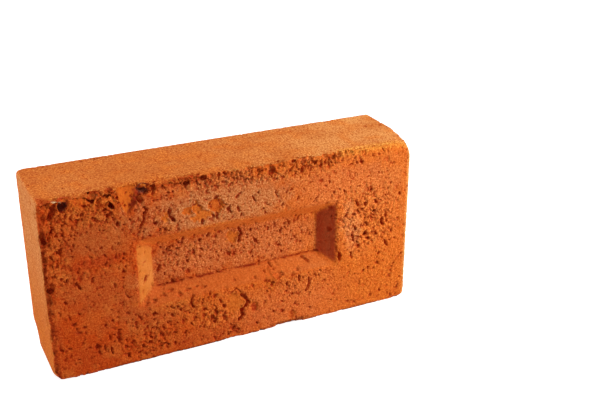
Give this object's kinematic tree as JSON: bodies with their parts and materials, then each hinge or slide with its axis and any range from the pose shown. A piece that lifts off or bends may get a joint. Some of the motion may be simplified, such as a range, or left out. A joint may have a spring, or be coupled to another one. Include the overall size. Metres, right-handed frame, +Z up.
{
  "type": "aged clay brick",
  "caption": "Hand-moulded fired clay brick with a shallow rectangular frog in its bed face, worn and chipped along its arrises, standing on its long narrow side.",
  "frame": {"origin": "middle of the long narrow side that the brick stands on, at floor level", "axes": "+X along the brick's length, +Y from the bed with the frog to the plain bed, +Z up"},
  "size_m": [0.25, 0.06, 0.12],
  "materials": {
    "fired_clay": "matt, sandy and pitted fired clay, orange where it is worn and brown in its pits"
  },
  "bodies": {
    "root": {"brick": "fired_clay"}
  },
  "joints": []
}
